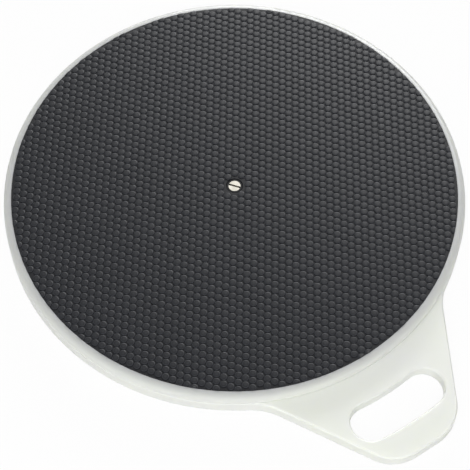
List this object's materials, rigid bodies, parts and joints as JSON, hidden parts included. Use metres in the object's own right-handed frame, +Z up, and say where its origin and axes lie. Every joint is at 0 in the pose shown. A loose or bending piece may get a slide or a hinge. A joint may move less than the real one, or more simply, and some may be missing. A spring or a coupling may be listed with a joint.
{
  "type": "pivot disc",
  "caption": "Round non-slip turning plate on a ball race over a base plate with a carrying tab and hand slot, for pivoting a standing person.",
  "frame": {"origin": "on the floor under the pivot axis, in the middle of the rubber mat that the disc stands on", "axes": "+Z up along the pivot axis; -Y along the carrying tab; +X to the right of someone who looks along +Y"},
  "size_m": [0.3999, 0.4806, 0.0264],
  "materials": {
    "white_plate": "smooth natural-white polyethylene board, slightly waxy",
    "mat_rubber": "matt black rubber with staggered round pebbles",
    "race_steel": "turned stainless steel",
    "ball_steel": "polished bearing steel",
    "cage_nylon": "moulded nylon",
    "bush_brass": "turned brass",
    "slip_nylon": "punched nylon sheet",
    "cup_black": "turned black acetal",
    "screw_nickel": "dull nickel plate, lightly handled",
    "zinc_steel": "zinc-plated steel",
    "insert_nylon": "moulded blue nylon"
  },
  "bodies": {
    "base": {"base_disc": "white_plate", "base_grip_mat": "mat_rubber", "lower_race_ring": "race_steel", "pivot_bush": "bush_brass", "lower_slip_washer": "slip_nylon", "cup_washer": "cup_black", "pivot_screw": "screw_nickel", "base_washer": "zinc_steel", "lock_nut": "zinc_steel", "lock_nut_insert": "insert_nylon"},
    "turntable": {"top_disc": "white_plate", "top_grip_mat": "mat_rubber", "upper_race_ring": "race_steel", "upper_slip_washer": "slip_nylon"},
    "cage": {"ball_cage": "cage_nylon"},
    "ball_01": {"ball_01": "ball_steel"},
    "ball_02": {"ball_02": "ball_steel"},
    "ball_03": {"ball_03": "ball_steel"},
    "ball_04": {"ball_04": "ball_steel"},
    "ball_05": {"ball_05": "ball_steel"},
    "ball_06": {"ball_06": "ball_steel"},
    "ball_07": {"ball_07": "ball_steel"},
    "ball_08": {"ball_08": "ball_steel"},
    "ball_09": {"ball_09": "ball_steel"},
    "ball_10": {"ball_10": "ball_steel"},
    "ball_11": {"ball_11": "ball_steel"},
    "ball_12": {"ball_12": "ball_steel"},
    "ball_13": {"ball_13": "ball_steel"},
    "ball_14": {"ball_14": "ball_steel"},
    "ball_15": {"ball_15": "ball_steel"},
    "ball_16": {"ball_16": "ball_steel"},
    "ball_17": {"ball_17": "ball_steel"},
    "ball_18": {"ball_18": "ball_steel"},
    "ball_19": {"ball_19": "ball_steel"},
    "ball_20": {"ball_20": "ball_steel"},
    "ball_21": {"ball_21": "ball_steel"},
    "ball_22": {"ball_22": "ball_steel"},
    "ball_23": {"ball_23": "ball_steel"},
    "ball_24": {"ball_24": "ball_steel"}
  },
  "joints": [
    {"name": "turntable_spin", "type": "hinge", "parent": "base", "child": "turntable", "pos_m": [0, 0, 0.01565], "axis": [0, 0, 1], "continuous": true},
    {"name": "cage_spin", "type": "hinge", "parent": "base", "child": "cage", "pos_m": [0, 0, 0.01565], "axis": [0, 0, 1], "continuous": true},
    {"name": "ball_01_roll", "type": "hinge", "parent": "cage", "child": "ball_01", "pos_m": [0.14489, 0.03882, 0.01565], "axis": [0.9659, 0.2588, 0], "continuous": true},
    {"name": "ball_02_roll", "type": "hinge", "parent": "cage", "child": "ball_02", "pos_m": [0.1299, 0.075, 0.01565], "axis": [0.866, 0.5, 0], "continuous": true},
    {"name": "ball_03_roll", "type": "hinge", "parent": "cage", "child": "ball_03", "pos_m": [0.10607, 0.10607, 0.01565], "axis": [0.7071, 0.7071, 0], "continuous": true},
    {"name": "ball_04_roll", "type": "hinge", "parent": "cage", "child": "ball_04", "pos_m": [0.075, 0.1299, 0.01565], "axis": [0.5, 0.866, 0], "continuous": true},
    {"name": "ball_05_roll", "type": "hinge", "parent": "cage", "child": "ball_05", "pos_m": [0.03882, 0.14489, 0.01565], "axis": [0.2588, 0.9659, 0], "continuous": true},
    {"name": "ball_06_roll", "type": "hinge", "parent": "cage", "child": "ball_06", "pos_m": [0, 0.15, 0.01565], "axis": [0, 1, 0], "continuous": true},
    {"name": "ball_07_roll", "type": "hinge", "parent": "cage", "child": "ball_07", "pos_m": [-0.03882, 0.14489, 0.01565], "axis": [-0.2588, 0.9659, 0], "continuous": true},
    {"name": "ball_08_roll", "type": "hinge", "parent": "cage", "child": "ball_08", "pos_m": [-0.075, 0.1299, 0.01565], "axis": [-0.5, 0.866, 0], "continuous": true},
    {"name": "ball_09_roll", "type": "hinge", "parent": "cage", "child": "ball_09", "pos_m": [-0.10607, 0.10607, 0.01565], "axis": [-0.7071, 0.7071, 0], "continuous": true},
    {"name": "ball_10_roll", "type": "hinge", "parent": "cage", "child": "ball_10", "pos_m": [-0.1299, 0.075, 0.01565], "axis": [-0.866, 0.5, 0], "continuous": true},
    {"name": "ball_11_roll", "type": "hinge", "parent": "cage", "child": "ball_11", "pos_m": [-0.14489, 0.03882, 0.01565], "axis": [-0.9659, 0.2588, 0], "continuous": true},
    {"name": "ball_12_roll", "type": "hinge", "parent": "cage", "child": "ball_12", "pos_m": [-0.15, 0, 0.01565], "axis": [-1, 0, 0], "continuous": true},
    {"name": "ball_13_roll", "type": "hinge", "parent": "cage", "child": "ball_13", "pos_m": [-0.14489, -0.03882, 0.01565], "axis": [-0.9659, -0.2588, 0], "continuous": true},
    {"name": "ball_14_roll", "type": "hinge", "parent": "cage", "child": "ball_14", "pos_m": [-0.1299, -0.075, 0.01565], "axis": [-0.866, -0.5, 0], "continuous": true},
    {"name": "ball_15_roll", "type": "hinge", "parent": "cage", "child": "ball_15", "pos_m": [-0.10607, -0.10607, 0.01565], "axis": [-0.7071, -0.7071, 0], "continuous": true},
    {"name": "ball_16_roll", "type": "hinge", "parent": "cage", "child": "ball_16", "pos_m": [-0.075, -0.1299, 0.01565], "axis": [-0.5, -0.866, 0], "continuous": true},
    {"name": "ball_17_roll", "type": "hinge", "parent": "cage", "child": "ball_17", "pos_m": [-0.03882, -0.14489, 0.01565], "axis": [-0.2588, -0.9659, 0], "continuous": true},
    {"name": "ball_18_roll", "type": "hinge", "parent": "cage", "child": "ball_18", "pos_m": [0, -0.15, 0.01565], "axis": [0, -1, 0], "continuous": true},
    {"name": "ball_19_roll", "type": "hinge", "parent": "cage", "child": "ball_19", "pos_m": [0.03882, -0.14489, 0.01565], "axis": [0.2588, -0.9659, 0], "continuous": true},
    {"name": "ball_20_roll", "type": "hinge", "parent": "cage", "child": "ball_20", "pos_m": [0.075, -0.1299, 0.01565], "axis": [0.5, -0.866, 0], "continuous": true},
    {"name": "ball_21_roll", "type": "hinge", "parent": "cage", "child": "ball_21", "pos_m": [0.10607, -0.10607, 0.01565], "axis": [0.7071, -0.7071, 0], "continuous": true},
    {"name": "ball_22_roll", "type": "hinge", "parent": "cage", "child": "ball_22", "pos_m": [0.1299, -0.075, 0.01565], "axis": [0.866, -0.5, 0], "continuous": true},
    {"name": "ball_23_roll", "type": "hinge", "parent": "cage", "child": "ball_23", "pos_m": [0.14489, -0.03882, 0.01565], "axis": [0.9659, -0.2588, 0], "continuous": true},
    {"name": "ball_24_roll", "type": "hinge", "parent": "cage", "child": "ball_24", "pos_m": [0.15, 0, 0.01565], "axis": [1, 0, 0], "continuous": true}
  ],
  "couplings": [
    {"joint": "cage_spin", "follows": "turntable_spin", "ratio": 0.5},
    {"joint": "ball_01_roll", "follows": "turntable_spin", "ratio": -25},
    {"joint": "ball_02_roll", "follows": "turntable_spin", "ratio": -25},
    {"joint": "ball_03_roll", "follows": "turntable_spin", "ratio": -25},
    {"joint": "ball_04_roll", "follows": "turntable_spin", "ratio": -25},
    {"joint": "ball_05_roll", "follows": "turntable_spin", "ratio": -25},
    {"joint": "ball_06_roll", "follows": "turntable_spin", "ratio": -25},
    {"joint": "ball_07_roll", "follows": "turntable_spin", "ratio": -25},
    {"joint": "ball_08_roll", "follows": "turntable_spin", "ratio": -25},
    {"joint": "ball_09_roll", "follows": "turntable_spin", "ratio": -25},
    {"joint": "ball_10_roll", "follows": "turntable_spin", "ratio": -25},
    {"joint": "ball_11_roll", "follows": "turntable_spin", "ratio": -25},
    {"joint": "ball_12_roll", "follows": "turntable_spin", "ratio": -25},
    {"joint": "ball_13_roll", "follows": "turntable_spin", "ratio": -25},
    {"joint": "ball_14_roll", "follows": "turntable_spin", "ratio": -25},
    {"joint": "ball_15_roll", "follows": "turntable_spin", "ratio": -25},
    {"joint": "ball_16_roll", "follows": "turntable_spin", "ratio": -25},
    {"joint": "ball_17_roll", "follows": "turntable_spin", "ratio": -25},
    {"joint": "ball_18_roll", "follows": "turntable_spin", "ratio": -25},
    {"joint": "ball_19_roll", "follows": "turntable_spin", "ratio": -25},
    {"joint": "ball_20_roll", "follows": "turntable_spin", "ratio": -25},
    {"joint": "ball_21_roll", "follows": "turntable_spin", "ratio": -25},
    {"joint": "ball_22_roll", "follows": "turntable_spin", "ratio": -25},
    {"joint": "ball_23_roll", "follows": "turntable_spin", "ratio": -25},
    {"joint": "ball_24_roll", "follows": "turntable_spin", "ratio": -25}
  ]
}
